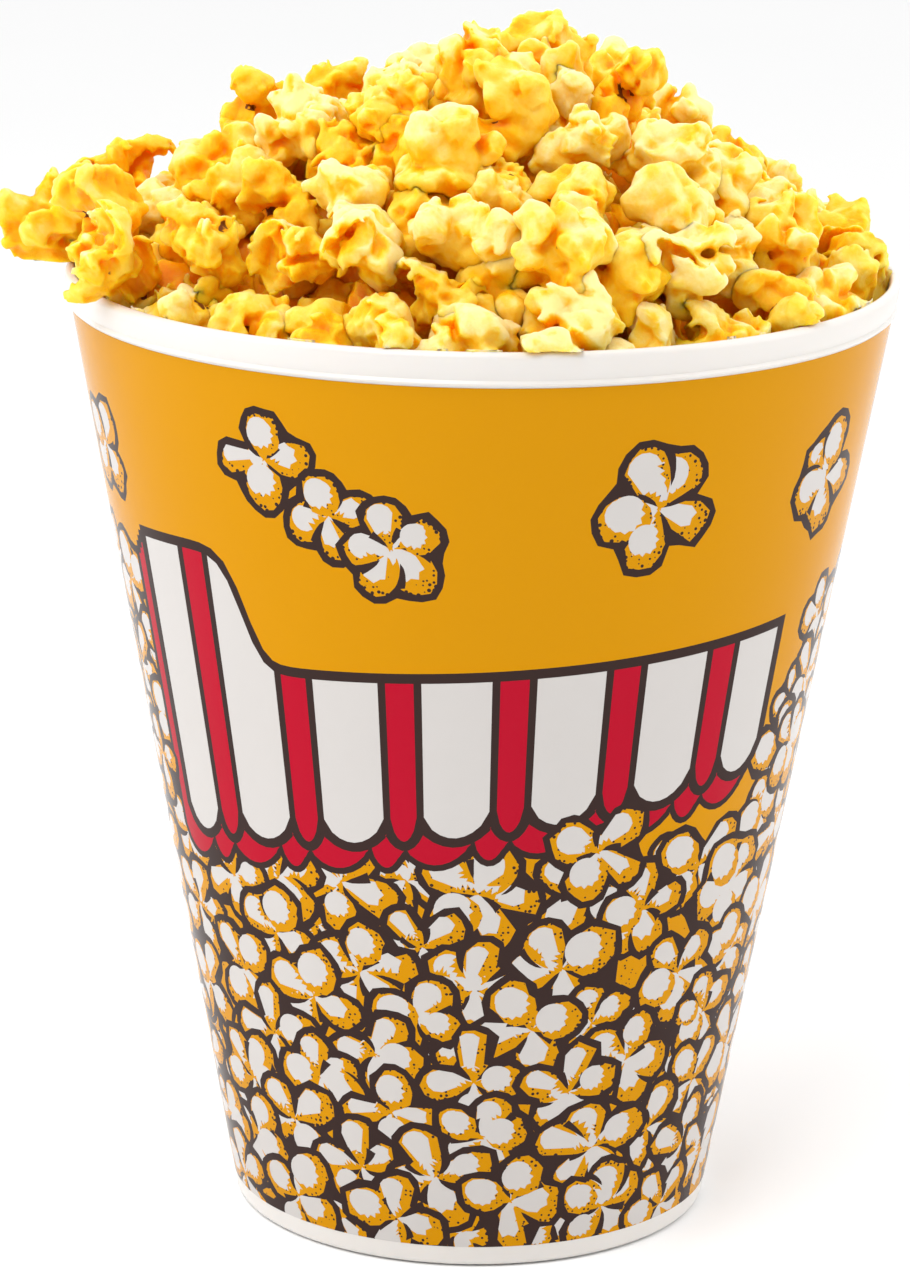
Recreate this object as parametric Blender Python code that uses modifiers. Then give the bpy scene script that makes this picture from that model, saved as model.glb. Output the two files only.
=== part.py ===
"""A moulded plastic bucket heaped with popcorn.

Blender 4.5 script. Metres, +Z up, the origin at the centre of the bucket's foot.
Two sub-parts: the bucket, one turned shell, and the popcorn, one solid that fills
the bucket and rises above its rim in an uneven heap.
"""
import math
import random

import bmesh
import bpy
from mathutils import Vector

# Driving dimensions of the bucket.
HEIGHT = 0.222
RIM_RADIUS = 0.095
RIM_BAND = 0.0076          # height of the plain band round the mouth
RIM_ROUND = 0.0011         # rounding of the band's two top edges
WALL_TOP_RADIUS = 0.0937   # outside of the wall, just below the rim band
BASE_RADIUS = 0.0553       # outside of the wall, carried down to the foot
FOOT_ROUND = 0.0016
WALL = 0.0015
FLOOR_TOP = 0.0020
FLOOR_ROUND = 0.003
BUCKET_STEPS = 88

# The popcorn: it clears the shell by GAP, and heaps up round HEAP_HEART.
GAP = 0.0003
FILL_EDGE = 0.2170         # where the heap leaves the wall, below the rim
HEAP_RISE = 0.0500         # the heap's even surface above the rim, at its middle
HEAP_POWER = 2.30          # how the heap's even surface falls off towards the rim
HEAP_HEART = Vector((0.0, 0.0, 0.1600))
WALL_SEAT = 0.2140         # the heap rests against the wall from here down
HEAP_RINGS = 24
HEAP_STEPS = 96
FALLOFF_LOW = 0.94         # share of the heap's rise kept on its lower, right side

# Clumps of popped corn that make the heap's outline uneven.
CLUMPS = 78
CLUMP_RADIUS = (0.0105, 0.0140)
CLUMP_SINK = 0.0062        # how deep a clump's centre sits under the even surface
CLUMP_SPREAD = 0.086
GOLDEN_ANGLE = 180.0 * (3.0 - math.sqrt(5.0))   # degrees between clumps on the spiral

# Clumps that lean out over the rim: angle round the bucket in degrees, distance
# from the axis, height and radius.
OVERHANGING = [
    (180.0, 0.0940, 0.2310, 0.0130),
    (194.0, 0.0950, 0.2290, 0.0130),
    (208.0, 0.0880, 0.2310, 0.0130),
    (164.0, 0.0880, 0.2310, 0.0130),
]
# Clumps that stand above the middle of the heap, given in the same way.
SUMMIT = [
    (200.0, 0.0080, 0.2650, 0.0145),
    (20.0, 0.0130, 0.2665, 0.0145),
    (270.0, 0.0200, 0.2610, 0.0140),
    (345.0, 0.0350, 0.2580, 0.0145),
]


def clear_scene():
    for obj in list(bpy.data.objects):
        bpy.data.objects.remove(obj, do_unlink=True)


def new_collection(name):
    collection = bpy.data.collections.new(name)
    bpy.context.scene.collection.children.link(collection)
    return collection


def make_material(name, color, roughness, metallic=0.0):
    material = bpy.data.materials.new(name)
    material.use_nodes = True
    shader = material.node_tree.nodes["Principled BSDF"]
    shader.inputs["Base Color"].default_value = (*color, 1.0)
    shader.inputs["Roughness"].default_value = roughness
    shader.inputs["Metallic"].default_value = metallic
    return material


def outer_radius(z):
    """Outside of the tapered wall at height z."""
    return BASE_RADIUS + (WALL_TOP_RADIUS - BASE_RADIUS) * z / (HEIGHT - RIM_BAND)


def inner_radius(z):
    return outer_radius(z) - WALL


def arc(centre, radius, start, end, count):
    """Points (r, z) on an arc; the angles are in degrees."""
    angles = [math.radians(start + (end - start) * i / count) for i in range(count + 1)]
    return [(centre[0] + radius * math.cos(a), centre[1] + radius * math.sin(a)) for a in angles]


def bucket_profile():
    """The shell's section: floor, inside wall, rim band, outside wall, foot, underside."""
    band_foot = HEIGHT - RIM_BAND
    mouth = inner_radius(HEIGHT)
    lean = math.atan((WALL_TOP_RADIUS - BASE_RADIUS) / band_foot)
    corner_z = FLOOR_TOP + FLOOR_ROUND
    corner_r = inner_radius(corner_z) - FLOOR_ROUND / math.cos(lean)
    inside = [(0.0, FLOOR_TOP)]
    inside += arc((corner_r, corner_z), FLOOR_ROUND, -90.0, -math.degrees(lean), 3)
    rim = arc((mouth + RIM_ROUND, HEIGHT - RIM_ROUND), RIM_ROUND, 170.0, 90.0, 3)
    rim += arc((RIM_RADIUS - RIM_ROUND, HEIGHT - RIM_ROUND), RIM_ROUND, 90.0, 0.0, 3)
    bead = RIM_ROUND / 2
    rim += arc((RIM_RADIUS - bead, band_foot + bead), bead, 0.0, -90.0, 2)
    rim.append((outer_radius(band_foot), band_foot))
    foot = arc((outer_radius(0.0) - FOOT_ROUND, FOOT_ROUND), FOOT_ROUND, 0.0, -90.0, 3)
    return inside + rim + foot + [(0.0, 0.0)]


def turned_object(name, profile, steps, collection):
    """An object that turns a section (r, z) round the Z axis with a Screw modifier."""
    mesh = bpy.data.meshes.new(name)
    points = [(r, 0.0, z) for r, z in profile]
    mesh.from_pydata(points, [(i, i + 1) for i in range(len(points) - 1)], [])
    obj = bpy.data.objects.new(name, mesh)
    collection.objects.link(obj)
    screw = obj.modifiers.new("Turn", "SCREW")
    screw.axis = "Z"
    screw.steps = steps
    screw.render_steps = steps
    screw.use_merge_vertices = True
    screw.merge_threshold = 0.00002
    return obj


def make_bucket(collection):
    bucket = turned_object("bucket", bucket_profile(), BUCKET_STEPS, collection)
    bucket.data.materials.append(make_material("bucket_plastic", (0.87, 0.60, 0.04), 0.28))
    return bucket


def heap_height(x, y):
    """Height of the heap's even surface above its edge; the right side (+X) lies lower."""
    reach = min(1.0, math.hypot(x, y) / RIM_RADIUS)
    side = 0.5 * (1.0 - x / RIM_RADIUS)
    share = FALLOFF_LOW + (1.0 - FALLOFF_LOW) * side
    return HEAP_RISE * share * (1.0 - reach ** HEAP_POWER)


def polar(degrees, distance, height):
    angle = math.radians(degrees)
    return Vector((distance * math.cos(angle), distance * math.sin(angle), height))


def clump_spheres():
    """Centre and radius of every clump: a spiral over the heap, then the placed ones."""
    draw = random.Random(7)
    spheres = []
    for i in range(CLUMPS):
        distance = CLUMP_SPREAD * math.sqrt((i + 0.5) / CLUMPS)
        centre = polar(GOLDEN_ANGLE * i + draw.uniform(-7.0, 7.0), distance, FILL_EDGE)
        centre.z += heap_height(centre.x, centre.y) - CLUMP_SINK + draw.uniform(-0.002, 0.003)
        spheres.append((centre, draw.uniform(*CLUMP_RADIUS)))
    for degrees, distance, height, radius in OVERHANGING + SUMMIT:
        spheres.append((polar(degrees, distance, height), radius))
    return spheres


def reach_of(direction, spheres):
    """How far from the heap's heart the clumps reach along a direction, or 0."""
    furthest = 0.0
    for centre, radius in spheres:
        offset = centre - HEAP_HEART
        along = offset.dot(direction)
        beside = radius ** 2 - (offset.length_squared - along ** 2)
        if beside > 0.0:
            furthest = max(furthest, along + math.sqrt(beside))
    return furthest


def heap_surface_point(share, degrees, spheres):
    """A point of the heap's top, pushed out along its line from the heart to the clumps."""
    even = polar(degrees, share * (inner_radius(FILL_EDGE) - GAP), FILL_EDGE)
    even.z += heap_height(even.x, even.y)
    line = even - HEAP_HEART
    reach = max(line.length * 0.985, reach_of(line.normalized(), spheres))
    point = HEAP_HEART + line.normalized() * reach
    if math.hypot(point.x, point.y) > inner_radius(HEIGHT) - GAP:
        point.z = max(point.z, HEIGHT + GAP)
    return point


def heap_rings(spheres):
    """Rings of points from the heap's top outwards, then down inside the wall to the floor."""
    angles = [360.0 * i / HEAP_STEPS for i in range(HEAP_STEPS)]
    steps = [i / HEAP_RINGS for i in range(1, HEAP_RINGS)]
    shares = [0.4 * step + 0.6 * math.sin(step * math.pi / 2) for step in steps]
    rings = [[heap_surface_point(share, a, spheres) for a in angles] for share in shares]
    mouth = inner_radius(HEIGHT) - GAP
    over = [math.hypot(point.x, point.y) > mouth - GAP for point in rings[-1]]
    lip = []
    for i, degrees in enumerate(angles):
        near_over = any(over[(i + step) % HEAP_STEPS] for step in (-2, -1, 0, 1, 2))
        height = HEIGHT + GAP if near_over else FILL_EDGE
        lip.append(polar(degrees, inner_radius(height) - GAP if height < HEIGHT else mouth, height))
    rings.append(lip)
    floor = FLOOR_TOP + GAP
    for height in (WALL_SEAT, 0.140, 0.070, floor + 0.004):
        rings.append([polar(a, inner_radius(height) - GAP, height) for a in angles])
    rings.append([polar(a, inner_radius(floor) - GAP - 0.004, floor) for a in angles])
    return rings


def make_popcorn(collection):
    """One closed skin over the rings, with a point at its top and a flat underside."""
    spheres = clump_spheres()
    rings = heap_rings(spheres)
    shape = bmesh.new()
    top = shape.verts.new(HEAP_HEART + Vector((0.0, 0.0, reach_of(Vector((0.0, 0.0, 1.0)), spheres))))
    corners = [[shape.verts.new(point) for point in ring] for ring in rings]
    for i in range(HEAP_STEPS):
        j = (i + 1) % HEAP_STEPS
        shape.faces.new((top, corners[0][i], corners[0][j]))
        for upper, lower in zip(corners, corners[1:]):
            shape.faces.new((upper[i], lower[i], lower[j], upper[j]))
    shape.faces.new(list(reversed(corners[-1])))
    mesh = bpy.data.meshes.new("popcorn")
    shape.to_mesh(mesh)
    shape.free()
    mesh.shade_smooth()
    mesh.materials.append(make_material("popped_corn", (0.93, 0.72, 0.22), 0.75))
    popcorn = bpy.data.objects.new("popcorn", mesh)
    collection.objects.link(popcorn)
    return popcorn


def main():
    clear_scene()
    collection = new_collection("popcorn_bucket")
    make_bucket(collection)
    make_popcorn(collection)


main()
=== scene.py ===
"""Looks of the bucket of popcorn: printed plastic bucket, loose popped corn, soft studio light."""

import math

import bpy
import numpy as np
from mathutils import Matrix, Vector
from mathutils.bvhtree import BVHTree
from mathutils.geometry import delaunay_2d_cdt


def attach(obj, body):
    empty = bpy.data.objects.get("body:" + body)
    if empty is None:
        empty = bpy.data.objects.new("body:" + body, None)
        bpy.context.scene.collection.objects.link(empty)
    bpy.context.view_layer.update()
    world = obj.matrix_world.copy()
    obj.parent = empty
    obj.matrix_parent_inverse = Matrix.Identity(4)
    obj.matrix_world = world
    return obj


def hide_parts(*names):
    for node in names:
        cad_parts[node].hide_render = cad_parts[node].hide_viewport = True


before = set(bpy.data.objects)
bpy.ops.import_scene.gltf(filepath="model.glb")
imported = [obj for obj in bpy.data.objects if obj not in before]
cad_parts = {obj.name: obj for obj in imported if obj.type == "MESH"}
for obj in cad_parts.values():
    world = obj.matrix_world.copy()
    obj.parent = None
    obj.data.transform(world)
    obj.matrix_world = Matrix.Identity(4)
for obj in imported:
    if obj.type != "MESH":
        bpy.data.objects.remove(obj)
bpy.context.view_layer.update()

MM = 0.001
RIM_TOP = 0.222

# ---------------------------------------------------------------- meshes and pieces

def mesh_from(name, corners, faces):
    """A smooth mesh from arrays of corners in metres or mm and of faces with equally many sides."""
    mesh = bpy.data.meshes.new(name)
    mesh.vertices.add(len(corners))
    mesh.vertices.foreach_set("co", np.asarray(corners, dtype=np.float32).ravel())
    sides = faces.shape[1]
    mesh.loops.add(faces.size)
    mesh.loops.foreach_set("vertex_index", faces.astype(np.int32).ravel())
    mesh.polygons.add(len(faces))
    mesh.polygons.foreach_set("loop_start", np.arange(0, faces.size, sides, dtype=np.int32))
    mesh.update(calc_edges=True)
    mesh.shade_smooth()
    return mesh


def tube_faces(columns, rows):
    """Triangles of a closed tube: rings of corners, one ring after another."""
    faces = []
    for k in range(rows - 1):
        for i in range(columns):
            j = (i + 1) % columns
            a, b = k * columns + i, k * columns + j
            faces += [(a, b + columns, b), (a, a + columns, b + columns)]
    return faces


def set_attribute(mesh, label, values):
    """A number for each corner, which the materials read by its label."""
    layer = mesh.attributes.new(label, "FLOAT", "POINT")
    layer.data.foreach_set("value", np.asarray(values, dtype=np.float32))


def linked(name, data):
    """A new object in the scene."""
    obj = bpy.data.objects.new(name, data)
    bpy.context.scene.collection.objects.link(obj)
    return obj


def placed_piece(name, mesh, node):
    """A finished piece of the visual model: it rides the root body and stands for one node."""
    obj = linked(name, mesh)
    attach(obj, "root")
    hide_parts(node)


# ---------------------------------------------------------------- bucket: sizes
RIM_BAND = 0.0076
RIM_RADIUS = 0.095
WALL_TOP_RADIUS = 0.0937
BASE_RADIUS = 0.0553
WALL = 0.0015
LIP = 2.1                    # mm, width of the rolled edge at the rim's top
FLOOR_TOP = 0.0020
FLOOR_ROUND = 3.0            # mm, the bend from the floor into the wall
FOOT_ROUND = 1.6             # mm, the rounded edge of the foot
WALL_TOP = RIM_TOP - RIM_BAND
WALL_LEAN = math.atan((WALL_TOP_RADIUS - BASE_RADIUS) / WALL_TOP)
PRINT_LOW = 5.0              # mm, lower edge of the print
PRINT_HIGH = WALL_TOP / MM - 0.25
PRINT_PROUD = 0.00004        # the print's skin stands this far off the wall
PRINT_SEAT = 0.12            # mm that the white wall is drawn in under the print
PANEL = 180.0                # degrees of wall that one copy of the print covers
DEGREE_MM = 1.3              # flat width of one degree while the print is cut
SEAM_REACH = 20.0            # degrees from a panel's edge within which a kernel may cross it
GRID_STEP = (2.0, 5.0)       # degrees and mm between plain points of the print's mesh
UV_HEIGHT = 220.0            # mm of wall that one whole step of the print's UV covers
OUTLINE = 1.70               # mm, black line round a drawn kernel

INKS = ["yellow", "black", "amber", "white", "red"]
LIGHT_SIDE = 2.35            # radians, where the drawn light comes from


def wall_radius(height_mm):
    """Outside radius of the wall in mm at a height in mm; it works on arrays too."""
    return BASE_RADIUS / MM + (WALL_TOP_RADIUS - BASE_RADIUS) * height_mm / WALL_TOP


def ring(count, reach, start=0.0):
    """Points round the origin; reach(angle) is their distance from it."""
    angles = [start + 2.0 * math.pi * i / count for i in range(count)]
    return [(reach(a) * math.cos(a), reach(a) * math.sin(a)) for a in angles]


def lobes_reach(lobes, grow):
    """Distance from the middle to the furthest lobe's edge, as a function of the angle."""
    def reach(angle):
        best = 0.0
        for x, y, radius in lobes:
            along = x * math.cos(angle) + y * math.sin(angle)
            beside = (radius + grow) ** 2 - (x * x + y * y - along * along)
            if beside > 0.0:
                best = max(best, along + math.sqrt(beside))
        return max(best, 1.0)
    return reach


def drawn_lobes(draw, size):
    """Circles of a drawn kernel: a middle and four or five arms of uneven length and spacing."""
    count = int(draw.integers(4, 6))
    angle = draw.uniform(0.0, 6.28)
    steps = draw.uniform(0.70, 1.30, count)
    steps *= 2.0 * math.pi / steps.sum()
    lobes = [(0.0, 0.0, size * 0.40)]
    for step in steps:
        angle += step
        radius = size * draw.uniform(0.30, 0.44)
        reach = (size - radius) * draw.uniform(0.85, 1.18)
        lobes.append((reach * math.cos(angle), reach * math.sin(angle), radius))
    return lobes


def uneven(draw, points, amount):
    """A polygon with each corner nudged, as if drawn by hand."""
    return [(x + draw.uniform(-amount, amount), y + draw.uniform(-amount, amount)) for x, y in points]


def lit_outline(draw, lobes, size):
    """The white of a kernel: its own outline drawn in and pushed to the light, toothed in the shade."""
    small = [(x * 0.90, y * 0.90, radius * 0.70) for x, y, radius in lobes]
    reach = lobes_reach(small, 0.0)
    shift = 0.12 * size
    points = []
    count = 46
    for i in range(count):
        angle = 2.0 * math.pi * i / count
        shade = max(0.0, -math.cos(angle - LIGHT_SIDE))
        tooth = (0.9 if i % 2 else 0.0) * min(1.0, 2.5 * shade)
        distance = reach(angle) - tooth * draw.uniform(0.5, 1.2)
        points.append((distance * math.cos(angle) + shift * math.cos(LIGHT_SIDE),
                       distance * math.sin(angle) + shift * math.sin(LIGHT_SIDE)))
    return points


def crease(start, angle, length, width, bend):
    """A tapering stroke that runs in from the outline."""
    left, right = [], []
    for i in range(4):
        share = i / 4.0
        distance = start - length * share
        turn = angle + bend * share
        half = 0.5 * width * (1.0 - 0.8 * share)
        x = distance * math.cos(turn)
        y = distance * math.sin(turn)
        left.append((x - half * math.sin(turn), y + half * math.cos(turn)))
        right.append((x + half * math.sin(turn), y - half * math.cos(turn)))
    tip = ((start - length) * math.cos(angle + bend), (start - length) * math.sin(angle + bend))
    return right + [tip] + left[::-1]


def comb(draw, start, angle, length, bend, side):
    """The toothed shade along one side of a crease."""
    outer, inner = [], []
    steps = 9
    for i in range(steps + 1):
        share = i / steps
        distance = start - length * share * 1.08
        turn = angle + bend * share
        swell = math.sin(math.pi * (0.18 + 0.8 * share))
        depth = side * swell * (draw.uniform(2.6, 3.6) if i % 2 else draw.uniform(1.4, 2.0))
        x = distance * math.cos(turn)
        y = distance * math.sin(turn)
        outer.append((x, y))
        inner.append((x + depth * math.sin(turn), y - depth * math.cos(turn)))
    return outer[::-1] + inner


def raised_puff(draw, lobe):
    """A puff drawn over the others: a toothed amber shade and a white top."""
    x, y, radius = lobe
    x, y, radius = x * 0.80, y * 0.80, radius * 0.88
    centre = np.array((x, y))

    def moved(points, shift):
        offset = centre + shift * radius * np.array((math.cos(LIGHT_SIDE), math.sin(LIGHT_SIDE)))
        return [(px + offset[0], py + offset[1]) for px, py in points]

    toothed = []
    for i in range(24):
        angle = 2.0 * math.pi * i / 24
        shade = max(0.0, -math.cos(angle - LIGHT_SIDE))
        reach = radius * 0.92 - (0.8 * draw.uniform(0.5, 1.2) if i % 2 else 0.0) * min(1.0, 2.0 * shade)
        toothed.append((reach * math.cos(angle), reach * math.sin(angle)))
    return [
        ("amber", moved(uneven(draw, ring(11, lambda a: radius * 1.05), 0.25), -0.12), 0.6),
        ("white", moved(toothed, 0.26), 0.0),
    ]


def drawn_kernel(draw, size):
    """Shapes (ink, points in mm, edge share) of one drawn kernel, lowest first."""
    lobes = drawn_lobes(draw, size)
    edge = lobes_reach(lobes, 0.0)
    turns = 30
    start = draw.uniform(0.0, 1.0)
    nudges = draw.uniform(-0.055, 0.055, turns) * size

    def cornered(grow):
        reach = lobes_reach(lobes, grow)
        points = []
        for i, nudge in enumerate(nudges):
            angle = start + 2.0 * math.pi * i / turns
            distance = reach(angle) + nudge
            points.append((distance * math.cos(angle), distance * math.sin(angle)))
        return points

    shapes = [("black", uneven(draw, cornered(OUTLINE), 0.16), 0.0)]
    shapes.append(("amber", cornered(0.0), 1.0))
    shapes.append(("white", lit_outline(draw, lobes, size), 0.0))
    angles = sorted(math.atan2(y, x) for x, y, _ in lobes[1:])
    for a, b in zip(angles, angles[1:] + [angles[0] + 2.0 * math.pi]):
        notch = (a + b) / 2.0
        start = edge(notch)
        length = min(start * 0.95, size * draw.uniform(0.30, 0.62))
        bend = draw.uniform(-0.5, 0.5)
        side = 1.0 if math.sin(notch - LIGHT_SIDE) > 0.0 else -1.0
        shapes.append(("amber", comb(draw, start - 0.4, notch, length, bend, side), 0.45))
        shapes.append(("black", crease(start + 0.7, notch, length + 0.2, draw.uniform(1.8, 2.7), bend), 0.0))
    for i in draw.permutation(np.arange(1, len(lobes)))[:int(draw.integers(1, 3))]:
        shapes += raised_puff(draw, lobes[i])
    return shapes


def placed(shapes, degrees, height, turn=0.0):
    """Shapes in mm moved to a place on the wall: points become (degrees, mm)."""
    scale = math.degrees(1.0) / wall_radius(height)
    c, s = math.cos(turn), math.sin(turn)
    moved = []
    for ink, points, edge in shapes:
        spots = [(degrees + (x * c - y * s) * scale, height + x * s + y * c) for x, y in points]
        moved.append((ink, spots, edge))
    return moved


# The awning on the wall: degrees at its ends, and mm at its top and bottom edges.
AWNING_ENDS = (-61.0, 55.0)
AWNING_STRIPES = 13
AWNING_SHADOW = (-3.2, -6.0)     # degrees and mm that the red shadow is shifted
AWNING_LINE = 1.5                # mm, black line round the awning
AWNING_TOP = 147.0               # mm, its upper edge at the print's middle
AWNING_PEAK = 27.0               # mm, how much higher its left end stands
AWNING_FOOT = 104.0              # mm, where its leftmost scallops hang from
STRIPE_INSET = 0.85              # mm, half of the black line between two stripes
SLIM = 0.18                      # share of a red stripe's width given to each white one beside it
SCALLOP = 6.0                    # mm that a scallop hangs down
SCALLOP_ROUND = 0.6              # power that makes a scallop blunt; 1 would be a sine


def awning_top(degrees):
    """The awning's upper edge in mm: a high peak at its left, then a gentle rise to the right."""
    peak = AWNING_PEAK / (1.0 + math.exp((degrees + 38.5) / 1.6))
    return AWNING_TOP + 0.085 * degrees + peak


def awning_foot(degrees):
    """Where the awning's scallops hang from, in mm."""
    return AWNING_FOOT + 0.17 * (degrees - AWNING_ENDS[0])


def stripe_ends(i):
    """Where stripe i of the awning begins and ends, in degrees; every other stripe is narrow."""
    left, right = AWNING_ENDS
    wide = (right - left) / AWNING_STRIPES
    slim = (SLIM if i % 2 else -SLIM) * wide
    low = left + wide * i + (slim if i else 0.0)
    high = left + wide * (i + 1) - (slim if i < AWNING_STRIPES - 1 else 0.0)
    return low, high


def awning_outline():
    """The whole awning, counter-clockwise from its lower left: scalloped foot, then the top."""
    left, right = AWNING_ENDS
    points = []
    for i in range(AWNING_STRIPES):
        low, high = stripe_ends(i)
        for k in range(9):
            share = k / 9.0
            degrees = low + (high - low) * share
            hang = SCALLOP * math.sin(math.pi * share) ** SCALLOP_ROUND
            points.append((degrees, awning_foot(degrees) - hang))
    points.append((right, awning_foot(right)))
    for k in range(61):
        degrees = right + (left - right) * k / 60.0
        points.append((degrees, awning_top(degrees)))
    return points


def awning_stripe(i, inset):
    """Stripe i of the awning, drawn in by an inset in mm."""
    low, high = stripe_ends(i)
    edge = math.degrees(inset / wall_radius(130.0))
    low += edge
    high -= edge
    points = []
    for k in range(9):
        share = k / 8.0
        degrees = low + (high - low) * share
        hang = (SCALLOP - 0.4 * inset) * math.sin(math.pi * share) ** SCALLOP_ROUND
        points.append((degrees, awning_foot(degrees) + 0.5 * inset - hang))
    for k in range(7):
        degrees = high + (low - high) * k / 6.0
        points.append((degrees, awning_top(degrees) - inset))
    return points


# Drawn kernels floating over the plain ground: degrees, mm, size in mm.
FLOATING = [(-71.0, 186.0, 12.5), (-31.0, 194.0, 11.0), (-21.5, 183.0, 10.5), (-12.5, 176.5, 11.5),
            (26.0, 185.0, 14.5), (60.5, 184.0, 13.0), (88.0, 196.0, 11.0)]
# Drawn kernels on top of the pile, which lap over the awning and the ground, given in the same way.
LAPPING = [(22.0, 104.0, 11.5), (70.0, 118.0, 11.0), (-72.0, 112.0, 10.5)]


def grown(points, amount):
    """A polygon (degrees, mm) moved outwards by an amount in mm."""
    flat = [Vector((x * DEGREE_MM, y)) for x, y in points]
    moved = []
    for i, here in enumerate(flat):
        before = (here - flat[i - 1]).normalized()
        after = (flat[(i + 1) % len(flat)] - here).normalized()
        out = Vector((before.y + after.y, -before.x - after.x)).normalized()
        stretch = 1.0 / max(0.45, math.sqrt(max(0.0, (1.0 + before.dot(after)) / 2.0)))
        place = here + out * amount * stretch
        moved.append((place.x / DEGREE_MM, place.y))
    return moved


def awning_shapes():
    """A bare striped awning: white and narrow red stripes, black lines and a red shadow."""
    outline = awning_outline()
    dx, dy = AWNING_SHADOW
    backs = [[(x + dx * share, y + dy * share) for x, y in outline] for share in (1.0, 0.75, 0.5, 0.25)]
    shapes = [("black", grown(points, AWNING_LINE), 0.0) for points in backs]
    shapes += [("red", points, 0.0) for points in backs]
    shapes.append(("black", grown(outline, AWNING_LINE), 0.0))
    for i in range(AWNING_STRIPES):
        ink = "red" if i % 2 else "white"
        shapes.append((ink, awning_stripe(i, STRIPE_INSET), 0.0))
    return shapes


def pile_top(degrees):
    """Height in mm that the drawn pile reaches at an angle."""
    away = min(1.0, max(0.0, (abs(degrees) - 50.0) / 22.0))
    return 100.0 + 56.0 * away * away * (3.0 - 2.0 * away)


def scattered(draw, spacing, tries, taken):
    """Places (degrees, mm) over the drawn pile, at least a spacing apart and from those taken."""
    found = []
    for _ in range(tries):
        degrees = draw.uniform(-PANEL / 2.0, PANEL / 2.0)
        height = draw.uniform(PRINT_LOW + 2.0, pile_top(degrees))
        clear = True
        for other, level in taken + found:
            turn = (degrees - other + PANEL / 2.0) % PANEL - PANEL / 2.0
            wide = math.radians(turn) * wall_radius((height + level) / 2.0)
            if math.hypot(wide, height - level) < spacing:
                clear = False
                break
        if clear:
            found.append((degrees, height))
    return found


def pile_shapes(draw):
    """The drawn pile: kernels in rows, low rows painted last, on a black ground."""
    shapes = []
    ground = [(-PANEL, PRINT_LOW - 4.0), (PANEL, PRINT_LOW - 4.0)]
    steps = [PANEL - 4.0 * i for i in range(int(PANEL / 2.0) + 1)]
    wrap = [(d + PANEL / 2.0) % PANEL - PANEL / 2.0 for d in steps]
    ground += [(d, pile_top(w) - 12.0) for d, w in zip(steps, wrap)]
    shapes.append(("black", ground, 0.0))
    spots = [(x, y, draw.uniform(10.6, 13.4)) for x, y in scattered(draw, 14.2, 5200, [])]
    for degrees, height in scattered(draw, 10.2, 3000, [spot[:2] for spot in spots]):
        if draw.random() < 0.55:
            blob = [("amber", uneven(draw, ring(9, lambda a: 5.5), 1.2), 0.0)]
            shapes += repeated(placed(blob, degrees, height), degrees)
        else:
            shapes += repeated(placed(drawn_kernel(draw, draw.uniform(7.0, 8.5)), degrees, height), degrees)
    spots.sort(key=lambda spot: -spot[1])
    for degrees, height, size in spots:
        kernel = placed(drawn_kernel(draw, size), degrees, height)
        shapes += repeated(kernel, degrees)
    return shapes


def repeated(shapes, degrees):
    """The shapes, and their copies one panel away where they may cross its edge."""
    if abs(degrees) <= PANEL / 2.0 - SEAM_REACH:
        return shapes
    step = math.copysign(PANEL, -degrees)
    return shapes + [(ink, [(x + step, y) for x, y in points], edge) for ink, points, edge in shapes]


def print_shapes():
    """Every shape of one panel of the print, lowest first."""
    draw = np.random.default_rng(5)
    shapes = pile_shapes(draw)
    shapes += awning_shapes()
    for degrees, height, size in FLOATING + LAPPING:
        shapes += repeated(placed(drawn_kernel(draw, size), degrees, height), degrees)
    return shapes


def flat_print():
    """The print cut into triangles on the flat: points (degrees, mm), triangles, inks, edge shares."""
    shapes = print_shapes()
    half = PANEL / 2.0
    border = [(-half, PRINT_LOW), (half, PRINT_LOW), (half, PRINT_HIGH), (-half, PRINT_HIGH)]
    shapes = [s for s in shapes if min(x for x, _ in s[1]) < half and max(x for x, _ in s[1]) > -half]
    across, up = GRID_STEP
    points, edges, shares = [], [], {}
    for i in range(1, int(PANEL / across)):
        for j in range(1, int((PRINT_HIGH - PRINT_LOW) / up) + 1):
            points.append(Vector(((-half + i * across) * DEGREE_MM, PRINT_LOW + (j - 0.5 * (i % 2)) * up)))
    plain = len(points)
    for outline, edge in [(border, 0.0)] + [(s[1], s[2]) for s in shapes]:
        base = len(points)
        flat = [Vector((x * DEGREE_MM, y)) for x, y in subdivided(outline)]
        for place in flat:
            shares[(round(place.x, 3), round(place.y, 3))] = edge
        points += flat
        edges += [(base + i, base + (i + 1) % len(flat)) for i in range(len(flat))]
    corners, triangles, ink = inked(points, edges, shapes)
    borders = ink_borders(triangles, ink)
    used = np.unique(borders)
    number = np.zeros(len(corners), dtype=int)
    number[used] = np.arange(len(used)) + plain
    points = points[:plain] + [Vector(corner) for corner in corners[used].tolist()]
    corners, triangles, ink = inked(points, number[borders].tolist(), shapes)
    share = np.array([shares.get((round(float(x), 3), round(float(y), 3)), 0.4) for x, y in corners])
    return corners / (DEGREE_MM, 1.0), triangles, ink, share


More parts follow.
